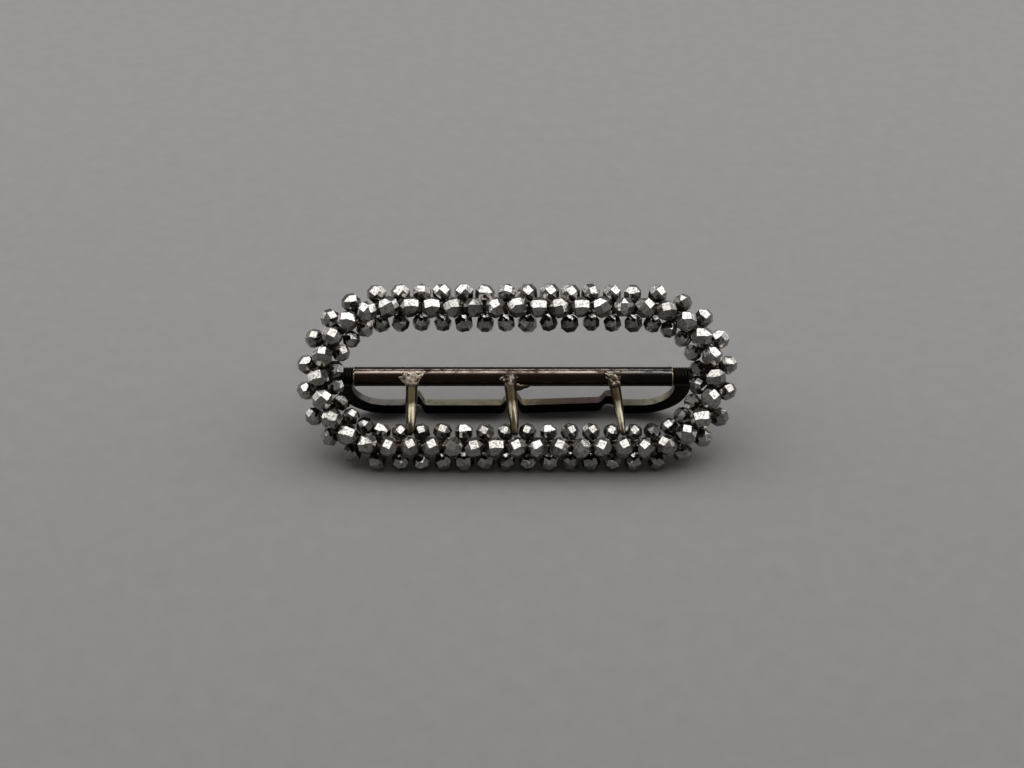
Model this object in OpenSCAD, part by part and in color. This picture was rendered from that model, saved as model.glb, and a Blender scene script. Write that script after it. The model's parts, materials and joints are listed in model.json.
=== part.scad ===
// A cut steel sash buckle: a long oval ring wound with three rows of faceted steel beads,
// a bar with three prongs across its middle and a flat loop for the sash hinged behind it.
// It stands as an easel does, on its lower beads and on the foot of the loop.
// Millimetres. The beads, the bar and the loop are drawn in the plane of the oval, with X along
// the bar, Y up the oval and Z out of its front, and stand() then leans that plane back.

/* [Bead rows] */
// Length of each straight side, along the middle row of beads
straight_l = 44.7; // [44.4:0.1:48]
// Radius of each round end, along the middle row of beads
end_r = 12.2; // [12.2:0.1:13]
// Distance from the middle row to the outer row and to the inner row
row_gap = 2.6; // [2.6:0.05:2.65]
// Height of the middle row in front of the oval's plane
middle_rise = 2.8; // [2.5:0.05:2.8]
// Height of the outer and inner rows in front of the oval's plane
side_rise = 0.25; // [0.25:0.05:0.4]

/* [Beads] */
// Width of a middle bead across its flats
middle_bead_w = 3.35; // [3.2:0.05:3.4]
// Width of an outer bead across its flats
outer_bead_w = 2.95; // [2.8:0.05:3]
// Width of an inner bead across its flats
inner_bead_w = 2.8; // [2.6:0.05:2.85]
// Diameter of the hole in each bead
bead_hole_d = 0.7; // [0.7:0.05:0.8]
// Diameter of the wire that the beads are strung on
wire_d = 0.35; // [0.3:0.05:0.5]

/* [Ring and pin] */
// Diameter of the rod of the ring
rod_d = 2; // [1.8:0.05:2]
// Distance of the rod's centre behind the oval's plane
rod_depth = 0.5; // [0.5:0.05:0.55]
// Diameter of the hinge pin
pin_d = 1.5; // [1.2:0.1:1.5]
// Clearance all round the pin
pin_gap = 0.05; // [0.03:0.01:0.08]
// Distance of the pin behind the oval's plane
pin_depth = 2.85; // [2.85:0.05:3]
// Height of the pin above the middle of the oval
pin_up = 0.2; // [0:0.05:0.2]

/* [Bar and prongs] */
// Diameter of the tube
tube_d = 3.43; // [3:0.01:3.6]
// Left end of the tube
tube_left = -29; // [-29:0.1:-28]
// Right end of the tube
tube_right = 27.7; // [27:0.1:27.7]
// Diameter of a prong
prong_d = 2; // [1.6:0.1:2.1]
// Diameter of a prong's point
prong_tip_d = 0.6; // [0.4:0.1:0.6]
// Width of the solder at a prong's root
solder_w = 3.9; // [3:0.1:4.2]
// Depth of the solder over the tube
solder_t = 0.45; // [0.3:0.05:0.5]

/* [Sash loop] */
// Thickness of the loop's plate
plate_t = 1.3; // [1:0.1:1.3]
// Width of the cross strip and the arms
strip_w = 2.75; // [2.4:0.05:3]
// Inner width of the loop between its arms
loop_in_w = 57.8; // [57.6:0.1:58]
// Inner radius of the loop's corners
corner_r = 5.6; // [4:0.1:6]
// Depth of the three bends in the cross strip
bend_h = 2; // [1:0.1:2]
// Width of each bend at its bottom
bend_w = 1.4; // [1.2:0.1:2.6]
// Width of each slanted side of a bend
bend_slant = 1.1; // [0.8:0.1:1.6]
// How far the foot is pushed back before the last bend
foot_skew = 0.55; // [0:0.05:0.6]

/* [Stance] */
// Lean of the oval back from upright
frame_lean = 40; // [30:1:45]
// Lean of the loop back from straight down
loop_lean = 17; // [10:1:20]

/* [Hidden] */
$fn = 48;

// Stations of the winding, counted clockwise from the top centre: a middle bead at each whole
// number, and an outer and an inner bead half way between
side_turns = 12;
end_turns = 10;
turns = 2 * side_turns + 2 * end_turns;
pitch = straight_l / side_turns;
turn_deg = 180 / end_turns;
q_right = side_turns / 2;
q_bottom = q_right + end_turns;
q_left = q_bottom + side_turns;
q_top = q_left + end_turns;

// The slant of the wire through a middle bead, from the outer row to the inner row
slant = atan2(pitch, 2 * row_gap);

// Each prong: the place of its root along the bar, and the station of the gap that its point
// rests in, counted from the middle of the lower side
ROOT = 0;
GAP = 1;
prongs = [[-18.6, -5], [-1.1, 0], [17.1, 5]];

// Each bend of the cross strip, one behind each prong: its place along the bar, and how far
// the strip is pushed back where it starts
BEND_X = 0;
BEND_BACK = 1;
bends = [[-18.6, 0], [-0.8, 0], [17, foot_skew]];

// The prong's centre line, seen from the end of the bar and measured from the pin's centre
prong_seat = 1.1;
prong_reach = 9.95 + pin_up;
prong_rise = 1.9 + pin_depth;
// Shares of the prong's length at the end of its round shank and at its narrow neck
shank_end = 0.65;
neck_at = 0.92;
neck_d = 1;
// Length of the solder up and down from the root
solder_up = 1.5;
solder_down = 1.6;

// The eyes that hold the pin's ends, behind the middle of each round end
eye_d = 2.8;
eye_w = 2;
eye_x = straight_l / 2 + end_r;
web_w = 2;
pin_l = 2 * eye_x + eye_w + 0.4;

// The loop's knuckles round the pin, beyond the ends of the tube
end_gap = 0.15;
knuckle_d = 3.4;
knuckle_w = 2.75;
loop_mid = (tube_left + tube_right) / 2;
shoulder = 2.6;
bend_zone = loop_in_w / 2 - corner_r;

// How far a bead of 26 facets reaches along a direction given in its own axes
function total(v) = v[0] + v[1] + v[2];
function sizes(v) = [abs(v[0]), abs(v[1]), abs(v[2])];
function bead_reach(w, dir) =
    w / 2 * (max(sizes(dir)) + (sqrt(2) - 1) * (total(sizes(dir)) - max(sizes(dir))));

// Stance: how low and how far forward and back the leaning oval reaches from its centre
lowest = -(end_r + row_gap) * cos(frame_lean) + side_rise * sin(frame_lean)
         - bead_reach(outer_bead_w, [0, cos(frame_lean), sin(frame_lean)]);
foremost = -end_r * sin(frame_lean) - middle_rise * cos(frame_lean)
           - bead_reach(middle_bead_w, [cos(slant) * sin(frame_lean), cos(frame_lean),
                                        sin(slant) * sin(frame_lean)]);
rearmost = (end_r + row_gap) * sin(frame_lean) - side_rise * cos(frame_lean)
           + bead_reach(outer_bead_w, [0, sin(frame_lean), cos(frame_lean)]);
middle_y = (foremost + rearmost) / 2;

// The loop is as long as it must be for its foot to reach the lowest beads' level
pin_z = pin_up * cos(frame_lean) - pin_depth * sin(frame_lean);
loop_l = (pin_z - lowest - plate_t / 2 * sin(loop_lean)) / cos(loop_lean);
loop_open = frame_lean + loop_lean;

// Direction in degrees of the outward normal at station q
function normal_deg(q) =
    q < q_right ? 90 :
    q < q_bottom ? 90 - turn_deg * (q - q_right) :
    q < q_left ? -90 :
    q < q_top ? -90 - turn_deg * (q - q_left) : 90;

// Place at station q, at a distance out from the middle row and a height in front of the plane
function place(q, out, rise) =
    let (a = normal_deg(q), r = end_r + out)
    q < q_right ? [q * pitch, r, rise] :
    q < q_bottom ? [straight_l / 2 + r * cos(a), r * sin(a), rise] :
    q < q_left ? [straight_l / 2 - (q - q_bottom) * pitch, -r, rise] :
    q < q_top ? [-straight_l / 2 + r * cos(a), r * sin(a), rise] :
    [-straight_l / 2 + (q - q_top) * pitch, r, rise];

// Direction of travel at station q
function along(q) = [sin(normal_deg(q)), -cos(normal_deg(q)), 0];
// Outward direction at station q
function outward(q) = [cos(normal_deg(q)), sin(normal_deg(q)), 0];

// Wire points. Past each bead the wire bends this far from the bead's centre
wire_past = 0.18;
outer_past = outer_bead_w / 2 + wire_past;
inner_past = inner_bead_w / 2 + wire_past;
middle_past = middle_bead_w / 2 + wire_past;
// Across the back the wire lies just clear of the rod
back_out = 1.15;
back_rise = -rod_depth - rod_d / 2 - wire_d / 2 - 0.12;

// The eight points of turn k: up through the outer bead, down through the middle and inner
// beads and straight across the back of the rod
function turn_points(k) =
    let (q0 = k - 0.5 + (k == 0 ? turns : 0), q1 = k + 0.5,
         thread = sin(slant) * along(k) - cos(slant) * outward(k))
    [place(q0, row_gap, side_rise - outer_past),
     place(q0, row_gap, side_rise + outer_past),
     place(k, 0, middle_rise) - middle_past * thread,
     place(k, 0, middle_rise) + middle_past * thread,
     place(q1, -row_gap, side_rise + inner_past),
     place(q1, -row_gap, side_rise - inner_past),
     place(q1, -back_out, back_rise),
     place(q1, back_out, back_rise)];

function unit(v) = v / norm(v);

// Leans the oval back and stands it on its lower beads
module stand() {
    translate([0, -middle_y, -lowest]) rotate([90 - frame_lean, 0, 0]) children();
}

// Moves to the pin's centre line
module at_pin() {
    translate([0, pin_up, -pin_depth]) children();
}

// Moves to station q, with X along the row and Y outward
module at_station(q, out, rise) {
    translate(place(q, out, rise)) rotate([0, 0, normal_deg(q) - 90]) children();
}

// A round bar along X from one place to another
module bar_x(from, to, d) {
    translate([from, 0, 0]) rotate([0, 90, 0]) cylinder(h = to - from, d = d);
}

// Stands a solid of turning, drawn along Z, on point p so that it points along v
module along_line(p, v) {
    translate(p) rotate([0, acos(v[2] / norm(v)), atan2(v[1], v[0])]) children();
}

// One bead of 26 flat facets, drilled along Z: an octagonal bar of its own height, with the
// edges and corners of its two ends cut away
module bead(w) {
    corner_w = w * (3 + sqrt(2)) / (sqrt(3) * (1 + sqrt(2)));
    difference() {
        intersection() {
            rotate([0, 0, 22.5]) cylinder(h = w, d = w / cos(22.5), center = true, $fn = 8);
            rotate([45, 0, 0]) cube([3 * w, w, w], center = true);
            rotate([0, 45, 0]) cube([w, 3 * w, w], center = true);
            intersection_for (turn = [45, 135, 225, 315])
                rotate([0, acos(1 / sqrt(3)), turn])
                    cube([3 * w, 3 * w, corner_w], center = true);
        }
        cylinder(h = 2 * w, d = bead_hole_d, center = true, $fn = 24);
    }
}

// One half of the ring's rod: a straight side and a round end
module half_ring() {
    translate([0, end_r, 0]) bar_x(-straight_l / 2, straight_l / 2, rod_d);
    translate([straight_l / 2, 0, 0]) rotate([0, 0, -90])
        rotate_extrude(angle = 180) translate([end_r, 0]) circle(d = rod_d);
}

// An eye for the pin's end, on a short web behind the round end
module eye() {
    at_pin() bar_x(eye_x - eye_w / 2, eye_x + eye_w / 2, eye_d);
    translate([eye_x - eye_w / 2, -web_w / 2, -pin_depth])
        cube([eye_w, web_w, pin_depth - rod_depth - rod_d / 4]);
}

// The ring that the wire is wound on, with its two eyes
module frame_ring() {
    color("#4b4743") stand() difference() {
        union() {
            for (turn = [0, 180])
                translate([0, 0, -rod_depth]) rotate([0, 0, turn]) half_ring();
            eye();
            mirror([1, 0, 0]) eye();
        }
        at_pin() bar_x(-pin_l, pin_l, pin_d + 2 * pin_gap);
    }
}

// The plain pin that the bar and the loop turn on
module hinge_pin() {
    color("#6d6862") stand() at_pin() bar_x(-pin_l / 2, pin_l / 2, pin_d);
}

// The outer row of beads, drilled from back to front
module outer_beads() {
    color("#b9b7b3") stand() for (k = [0 : turns - 1])
        at_station(k + 0.5, row_gap, side_rise) bead(outer_bead_w);
}

// The middle row of beads, drilled across the row on the slant of the wire
module middle_beads() {
    color("#d6d4d0") stand() for (k = [0 : turns - 1])
        at_station(k, 0, middle_rise) rotate([90, 0, slant]) bead(middle_bead_w);
}

// The inner row of beads, drilled from back to front
module inner_beads() {
    color("#c4c2be") stand() for (k = [0 : turns - 1])
        at_station(k + 0.5, -row_gap, side_rise) bead(inner_bead_w);
}

// The wire, swept in one closed run of turns through every bead
module binding_wire() {
    sides = 5;
    route = [for (k = [0 : turns - 1]) each turn_points(k)];
    stations = [for (k = [0 : turns - 1]) for (j = [0 : 7]) j < 2 ? k - 0.5 : j < 4 ? k : k + 0.5];
    n = len(route);
    rings = [for (i = [0 : n - 1])
        let (before = unit(route[i] - route[(i + n - 1) % n]),
             after = unit(route[(i + 1) % n] - route[i]),
             t = unit(before + after),
             guide = along((stations[i] + turns) % turns),
             u = unit(guide - (guide * t) * t),
             w = cross(t, u))
        for (j = [0 : sides - 1])
            route[i] + wire_d / 2 * (cos(360 * j / sides) * u + sin(360 * j / sides) * w)];
    walls = [for (i = [0 : n - 1]) for (j = [0 : sides - 1])
        let (a = i * sides + j, b = i * sides + (j + 1) % sides,
             c = ((i + 1) % n) * sides + (j + 1) % sides, d = ((i + 1) % n) * sides + j)
        each [[a, c, b], [a, d, c]]];
    color("#57524c") stand() polyhedron(points = rings, faces = walls);
}

// One prong with the solder at its root, measured from the pin's centre
module prong(p) {
    root = [p[ROOT], 0, prong_seat];
    tip = [p[GAP] * pitch, -prong_reach, prong_rise];
    run = tip - root;
    l = norm(run);
    half = [[0, 0], [prong_d / 2, 0], [prong_d / 2, shank_end * l], [neck_d / 2, neck_at * l],
            [prong_tip_d / 2, l], [prong_tip_d / 4, l + prong_tip_d / 2], [0, l + prong_tip_d / 2]];
    along_line(root, run) rotate_extrude() polygon(half);
    intersection() {
        along_line(root - solder_up * unit(run), run)
            cylinder(h = solder_up + solder_down, d1 = solder_w, d2 = prong_d + 0.02);
        bar_x(p[ROOT] - solder_w, p[ROOT] + solder_w, tube_d + 2 * solder_t);
    }
}

// The tube with its three prongs, soldered into one piece
module prong_bar() {
    color("#6b4a32") stand() at_pin() difference() {
        union() {
            bar_x(tube_left, tube_right, tube_d);
            for (p = prongs) prong(p);
        }
        bar_x(tube_left - 1, tube_right + 1, pin_d + 2 * pin_gap);
    }
}

// A flat shape w wide and h deep below the pin, with round lower corners
module round_foot(w, h, r) {
    translate([-w / 2, r - h]) square([w, h - r]);
    translate([r - w / 2, -h]) square([w - 2 * r, h]);
    for (side = [-1, 1])
        translate([side * (w / 2 - r), r - h]) circle(r = r);
}

// The flat part of the loop: its arms and corners, without the bent middle of its foot
module loop_outline() {
    foot_l = loop_l - strip_w;
    difference() {
        round_foot(loop_in_w + 2 * strip_w, loop_l, corner_r + strip_w);
        translate([0, 1]) round_foot(loop_in_w, foot_l + 1, corner_r);
        translate([-bend_zone, -loop_l - 1]) square([2 * bend_zone, strip_w + 2]);
        translate([-loop_in_w, -shoulder]) square([2 * loop_in_w, 2 * loop_l]);
    }
}

// The neck of plate that joins each arm to its knuckle
module loop_necks() {
    arm_in = loop_in_w / 2;
    knuckle_out = (tube_right - tube_left) / 2 + end_gap + knuckle_w;
    for (side = [0, 1])
        mirror([side, 0]) translate([arm_in, -shoulder - 0.01])
            square([knuckle_out - arm_in, shoulder + 0.01]);
}

// One side of the foot's outline seen from below, over its three bends. They are pressed
// between two dies, so both sides of the plate bend at the same places
function foot_edge(side) =
    let (half = side * plate_t / 2)
    [for (bend = bends) let (c = bend[BEND_X] - loop_mid) each
        [[c - bend_w / 2 - bend_slant, bend[BEND_BACK] + half], [c - bend_w / 2, bend_h + half],
         [c + bend_w / 2, bend_h + half], [c + bend_w / 2 + bend_slant, half]]];

// The middle of the loop's foot, pressed back behind each prong
module loop_foot() {
    front = foot_edge(-1);
    back = foot_edge(1);
    outline = concat([[-bend_zone, -plate_t / 2]], front, [[bend_zone, -plate_t / 2]],
                     [[bend_zone, plate_t / 2]],
                     [for (i = [len(back) - 1 : -1 : 0]) back[i]],
                     [[-bend_zone, plate_t / 2]]);
    translate([0, -loop_l, 0]) rotate([-90, 0, 0])
        linear_extrude(height = strip_w) polygon(outline);
}

// The loop that the sash is sewn to, hinged behind the oval
module sash_loop() {
    color("#3b3631") stand() at_pin() rotate([loop_open, 0, 0]) difference() {
        union() {
            translate([loop_mid, 0, 0]) {
                translate([0, 0, -plate_t / 2]) linear_extrude(height = plate_t) {
                    loop_outline();
                    loop_necks();
                }
                loop_foot();
            }
            bar_x(tube_left - end_gap - knuckle_w, tube_left - end_gap, knuckle_d);
            bar_x(tube_right + end_gap, tube_right + end_gap + knuckle_w, knuckle_d);
        }
        bar_x(-pin_l, pin_l, pin_d + 2 * pin_gap);
    }
}

frame_ring();
hinge_pin();
outer_beads();
middle_beads();
inner_beads();
binding_wire();
prong_bar();
sash_loop();
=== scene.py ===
# %% [markdown]
# # A cut steel sash buckle
#
# The buckle is a long oval ring of rod. A wire is wound round the rod in 44 turns, and each
# turn holds three faceted steel beads: one of the outer row, one of the raised middle row and
# one of the inner row. A bar with three soldered prongs turns on a pin behind the oval, and
# so does the flat loop that the sash is sewn to.
#
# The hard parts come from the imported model, in metres, and none of them is moved here. This
# lesson gives them their surfaces, and puts a finer piece in the place of the plainer ones:
# hand-ground beads, a round wire, a lacquered tube with crusty solder, and a plate with worn
# edges.

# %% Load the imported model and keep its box
import json
import random
from functools import partial
from math import atan2, cos, hypot, pi, radians, sin, sqrt

import bmesh
import bpy
from mathutils import Matrix, Vector


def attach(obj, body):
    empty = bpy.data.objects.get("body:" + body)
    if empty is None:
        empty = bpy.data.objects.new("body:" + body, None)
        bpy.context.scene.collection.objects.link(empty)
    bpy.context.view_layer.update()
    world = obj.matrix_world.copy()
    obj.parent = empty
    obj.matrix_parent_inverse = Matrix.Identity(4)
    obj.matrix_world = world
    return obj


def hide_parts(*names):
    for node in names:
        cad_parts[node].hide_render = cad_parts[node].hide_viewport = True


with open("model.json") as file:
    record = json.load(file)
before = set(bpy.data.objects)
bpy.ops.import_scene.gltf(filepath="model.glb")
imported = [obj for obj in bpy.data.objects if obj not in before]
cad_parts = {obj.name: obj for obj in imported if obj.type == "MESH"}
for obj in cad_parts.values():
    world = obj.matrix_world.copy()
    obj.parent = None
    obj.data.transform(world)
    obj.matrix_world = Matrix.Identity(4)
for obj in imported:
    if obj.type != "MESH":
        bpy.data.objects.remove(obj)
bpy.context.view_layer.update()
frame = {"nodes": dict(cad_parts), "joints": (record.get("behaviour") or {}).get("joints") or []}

MM = 0.001
# Lengths in metres that count as nothing: in a cut, and between points that coincide
TINY = 1e-7
CLOSE = 1e-6
print("CAD pieces:", sorted(frame["nodes"]))

# %% [markdown]
# ## Working as by hand, from a script
#
# An operator acts on whatever is selected, and the loaded pieces come in selected. So every
# step starts from nothing selected, and inside edit mode a rule picks the faces, edges or
# points to work on by their place or by the way they face.

# %% Selecting
def take_all():
    """In edit mode, selects the whole mesh."""
    bpy.ops.mesh.select_all(action="SELECT")


def start_fresh():
    """Nothing selected, so that the next operator meets only what it makes."""
    bpy.ops.object.select_all(action="DESELECT")


def take(piece):
    """Selects one piece and makes it the active one."""
    start_fresh()
    piece.select_set(True)
    bpy.context.view_layer.objects.active = piece


def pick(piece, kind, rule):
    """In edit mode, selects what the rule says yes to: "VERT", "EDGE" or "FACE" by its middle."""
    bpy.ops.mesh.select_mode(type=kind)
    bpy.ops.mesh.select_all(action="DESELECT")
    shape = bmesh.from_edit_mesh(piece.data)
    parts = {"VERT": shape.verts, "EDGE": shape.edges, "FACE": shape.faces}[kind]
    for part in parts:
        points = [part.co] if kind == "VERT" else [vert.co for vert in part.verts]
        middle = sum(points, Vector()) / len(points)
        part.select_set(bool(rule(middle, part)))
    shape.select_flush_mode()
    bmesh.update_edit_mesh(piece.data)


def finish_mesh():
    """Turns every face outward and leaves edit mode."""
    take_all()
    bpy.ops.mesh.normals_make_consistent(inside=False)
    bpy.ops.object.mode_set(mode="OBJECT")


def apply_modifier(piece, kind, **settings):
    """Adds a modifier with its settings and applies it to the mesh."""
    take(piece)
    modifier = piece.modifiers.new(kind.title(), kind)
    for name, value in settings.items():
        setattr(modifier, name, value)
    bpy.ops.object.modifier_apply(modifier=modifier.name)


def combine(piece, other, operation):
    """Unites another piece with this one, or cuts it away from this one, and deletes it."""
    apply_modifier(piece, "BOOLEAN", object=other, operation=operation, solver="EXACT")
    bpy.data.objects.remove(other)


def smooth(piece, sharp_from):
    """Shades a piece smooth, apart from edges that turn by more than the angle."""
    take(piece)
    bpy.ops.object.shade_smooth_by_angle(angle=sharp_from)


def join(pieces, name):
    """Joins several pieces into the first one."""
    start_fresh()
    for piece in pieces:
        piece.select_set(True)
    bpy.context.view_layer.objects.active = pieces[0]
    bpy.ops.object.join()
    pieces[0].name = name
    pieces[0].data.name = name
    return pieces[0]


def freeze():
    """Writes the active piece's place, turn and size into its mesh."""
    bpy.ops.object.transform_apply(location=True, rotation=True, scale=True)


def settle(piece, matrix):
    """Puts a piece in its place, in its mesh, with its object left at the origin."""
    take(piece)
    piece.matrix_world = matrix
    freeze()


# %% [markdown]
# ## The plane of the oval
#
# The buckle stands like an easel: the oval leans back and the loop props it up. Beads, bar
# and loop are easier to draw in the flat plane of the oval, with X along the bar, Y up the
# oval and Z out of its front. One matrix then stands them up. The pin is the one place that
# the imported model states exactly, so the plane is hung from it.

# %% Stand the flat plane up on the pin
LEAN = radians(40)
LOOP_OPEN = radians(57)
PIN_UP = 0.2 * MM
PIN_DEPTH = 2.85 * MM

pin_world = Vector(frame["joints"][0]["pos_m"])
pin_flat = Vector((pin_world.x, PIN_UP, -PIN_DEPTH))
turn_up = Matrix.Rotation(radians(90) - LEAN, 4, "X")
STAND = Matrix.Translation(pin_world - turn_up @ pin_flat) @ turn_up
AT_PIN = STAND @ Matrix.Translation((0, PIN_UP, -PIN_DEPTH))
AT_LOOP = AT_PIN @ Matrix.Rotation(LOOP_OPEN, 4, "X")
print("middle of the oval, mm:", [round(c / MM, 2) for c in STAND.translation])

# %% [markdown]
# ## Camera
#
# The photograph looks down at 40 degrees, square onto the leaning oval, from about a foot
# away. The picture is 1024 by 768 with a horizontal view of 37 degrees.

# %% Camera
CAMERA_TILT = radians(40)
CAMERA_AWAY = 266 * MM
LENS_MM = 53.1
LOOK_AT = Vector((-0.86, -0.2, 11.83)) * MM

look_from = LOOK_AT + CAMERA_AWAY * Vector((0, -cos(CAMERA_TILT), sin(CAMERA_TILT)))
bpy.ops.object.camera_add(location=look_from, rotation=(radians(90) - CAMERA_TILT, 0, 0))
camera = bpy.context.object
camera.name = "camera"
camera.data.lens = LENS_MM
camera.data.clip_start = 10 * MM
bpy.context.scene.camera = camera
print("camera at, mm:", [round(c / MM, 1) for c in look_from])

# %% [markdown]
# ## Colours and nodes
#
# Colours are written as sRGB hex, as a paint chart gives them, and one function turns them
# to the linear numbers that a shader adds up. One more function adds a node, sets it and
# links it. Inputs are given by name, or else in the node's own order, and each may be a
# value, a hex colour, another node's output, or that node itself, which then gives the first
# of its outputs that is in use. A material is a recipe: it adds the nodes that it needs and
# gives what goes into the surface.

# %% Colours and nodes
def linear(code):
    """An sRGB hex colour as linear red, green, blue and alpha."""
    shares = [int(code[i:i + 2], 16) / 255 for i in (1, 3, 5)]
    light = [s / 12.92 if s <= 0.04045 else ((s + 0.055) / 1.055) ** 2.4 for s in shares]
    return (*light, 1.0)


def add_node(tree, kind, inputs=(), **settings):
    """Adds a node, sets it, and fills its inputs."""
    node = tree.nodes.new(f"ShaderNode{kind}")
    for name, value in settings.items():
        setattr(node, name, value)
    if isinstance(inputs, dict):
        filled = [(node.inputs[name], value) for name, value in inputs.items()]
    else:
        filled = zip([socket for socket in node.inputs if socket.enabled], inputs)
    for socket, value in filled:
        if isinstance(value, bpy.types.Node):
            value = next(output for output in value.outputs if output.enabled)
        if isinstance(value, bpy.types.NodeSocket):
            tree.links.new(value, socket)
        else:
            socket.default_value = linear(value) if isinstance(value, str) else value
    return node


def emptied(owner):
    """Gives a material or a world an empty node tree, and the function that adds to it."""
    owner.use_nodes = True
    owner.node_tree.nodes.clear()
    return partial(add_node, owner.node_tree)


def make_material(name, recipe, *facts):
    """A material from a recipe and the facts that the recipe needs."""
    material = bpy.data.materials.new(name)
    add = emptied(material)
    surface = add("BsdfPrincipled", recipe(add, *facts))
    add("OutputMaterial", {"Surface": surface})
    return material


def paint(piece, material):
    """Makes this material the piece's only one."""
    piece.data.materials.clear()
    piece.data.materials.append(material)


# %% [markdown]
# ## Floor and light
#
# Cut steel lives by its surroundings: each facet is a small mirror. Two soft boxes hang
# above and behind the buckle, so that the facets that lean back a little turn white and the
# shadows fall forward. A third and very dim one hangs in front. The lower facets mirror the
# floor as grey. A panel at each side lights the facets that look outward. The room behind
# the viewer is dim, and leaves the facets that face the viewer dark grey.

# %% Floor
FLOOR_W = 3.0
GRAINS_PER_M = 900.0


def matt_paper(add):
    grain = add("TexNoise", {"Scale": GRAINS_PER_M, "Detail": 3.0})
    tone = add("Mix", (grain, "#6c6b6a", "#747372"), data_type="RGBA")
    return {"Base Color": tone, "Roughness": 0.8}


start_fresh()
bpy.ops.mesh.primitive_plane_add(size=FLOOR_W, location=(0, 0, 0))
floor = bpy.context.object
floor.name = "floor"
paint(floor, make_material("matt_grey_paper", matt_paper))

# %% Soft boxes and room
BOX_UP = 0.42
BOX_W = 1.6
FILL_FRONT, BOX_FRONT, BOX_SEAM, BOX_BACK = -0.6, -0.13, 0.08, 0.46
FILL_GLOW = 0.1
OVERHEAD_GLOW = 2.15
BEHIND_GLOW = 2.5
PANEL_X, PANEL_Y, PANEL_UP = 0.95, 0.38, 0.25
PANEL_SIZE = (1.0, 0.3)
PANEL_GLOW = 1.8
ROOM_GLOW = 0.22


def soft_box(name, centre, aim, size, glow):
    """A soft light that glows evenly over its width and depth and faces the point aim."""
    start_fresh()
    facing = (Vector(aim) - Vector(centre)).to_track_quat("-Z", "Y").to_euler()
    bpy.ops.object.light_add(type="AREA", location=centre, rotation=facing)
    box = bpy.context.object
    box.name = name
    box.data.shape = "RECTANGLE"
    box.data.size, box.data.size_y = size
    box.data.energy = glow * pi * size[0] * size[1]
    print(name, "gives", round(box.data.energy, 2), "watts")


for name, front, back, glow in (("fill", FILL_FRONT, BOX_FRONT, FILL_GLOW),
                                ("overhead", BOX_FRONT, BOX_SEAM, OVERHEAD_GLOW),
                                ("behind", BOX_SEAM, BOX_BACK, BEHIND_GLOW)):
    y = (front + back) / 2
    soft_box(f"soft_box_{name}", (0, y, BOX_UP), (0, y, 0), (BOX_W, back - front), glow)
for name, x in (("left", -PANEL_X), ("right", PANEL_X)):
    soft_box(f"panel_{name}", (x, PANEL_Y, PANEL_UP), (0, PANEL_Y, PANEL_UP), PANEL_SIZE, PANEL_GLOW)

room = bpy.data.worlds.new("dim_room")
add = emptied(room)
glow = add("Background", {"Color": "#f2f0ee", "Strength": ROOM_GLOW})
add("OutputWorld", {"Surface": glow})
bpy.context.scene.world = room
bpy.context.scene.view_settings.view_transform = "Standard"
bpy.context.scene.view_settings.look = "Medium High Contrast"

# %% [markdown]
# ## Stations of the winding
#
# Places along the oval are counted in turns of the wire, clockwise from the top centre. A
# middle bead sits at each whole number, and an outer and an inner bead half way between.
# Four short functions give the directions and the place at any station, so that the beads
# and the wire follow the same oval.

# %% Places along the oval
STRAIGHT_L = 44.7 * MM
END_R = 12.2 * MM
SIDE_TURNS = 12
END_TURNS = 10
TURNS = 2 * SIDE_TURNS + 2 * END_TURNS
PITCH = STRAIGHT_L / SIDE_TURNS
ROW_GAP = 2.6 * MM
MIDDLE_RISE = 2.8 * MM
SIDE_RISE = 0.25 * MM

Q_RIGHT = SIDE_TURNS / 2
Q_BOTTOM = Q_RIGHT + END_TURNS
Q_LEFT = Q_BOTTOM + SIDE_TURNS
Q_TOP = Q_LEFT + END_TURNS


def on_oval(q):
    """X on the oval's middle line at station q, and the angle of its outward normal."""
    q = q % TURNS
    turn = pi / END_TURNS
    if q < Q_RIGHT:
        return q * PITCH, pi / 2
    if q < Q_BOTTOM:
        return STRAIGHT_L / 2, pi / 2 - turn * (q - Q_RIGHT)
    if q < Q_LEFT:
        return STRAIGHT_L / 2 - (q - Q_BOTTOM) * PITCH, -pi / 2
    if q < Q_TOP:
        return -STRAIGHT_L / 2, -pi / 2 - turn * (q - Q_LEFT)
    return (q - TURNS) * PITCH, pi / 2


def outward(q):
    """Unit vector out of the oval at station q."""
    angle = on_oval(q)[1]
    return Vector((cos(angle), sin(angle), 0))


def along(q):
    """Unit vector along the oval at station q."""
    angle = on_oval(q)[1]
    return Vector((sin(angle), -cos(angle), 0))


def place(q, out, rise):
    """Place at station q, so far out from the middle row and so high in front of the plane."""
    return Vector((on_oval(q)[0], 0, rise)) + (END_R + out) * outward(q)


print("distance from bead to bead, mm:", round(PITCH / MM, 3))

# %% [markdown]
# ## Grinding a bead
#
# A cut steel bead starts as a blank, and its flats are ground one after another on a wheel:
# six square to each other, twelve between them and eight on the corners. Here a cube is the
# blank, and each flat is one cut with bisect, filled over. A hand never holds two beads
# quite alike, so the wheel's angle and depth wander a little, from a fixed seed, and the
# hole isn't square to the flats. A narrow bevel is the wear on the edges.

# %% Grind one bead
BEAD_W = {"outer": 2.95 * MM, "middle": 3.35 * MM, "inner": 2.8 * MM}
# The largest bead of a row, as a share of its usual width
LARGEST = {"outer": 1.09, "middle": 1.05, "inner": 1.1}
BEAD_HOLE_D = 0.7 * MM
HOLE_SIDES = 8
HOLE_SKEW = radians(30)
EDGE_WEAR = 0.1 * MM
EDGE_FROM = radians(15)
BLANK_SIZE = 1.5
DEPTH_SLIP = 0.03
ANGLE_SLIP = radians(3.5)
# How far out a corner's flat lies beside the other flats, when all the edges are equally long
CORNER_CUT = (3 + sqrt(2)) / (sqrt(3) * (1 + sqrt(2)))

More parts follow.
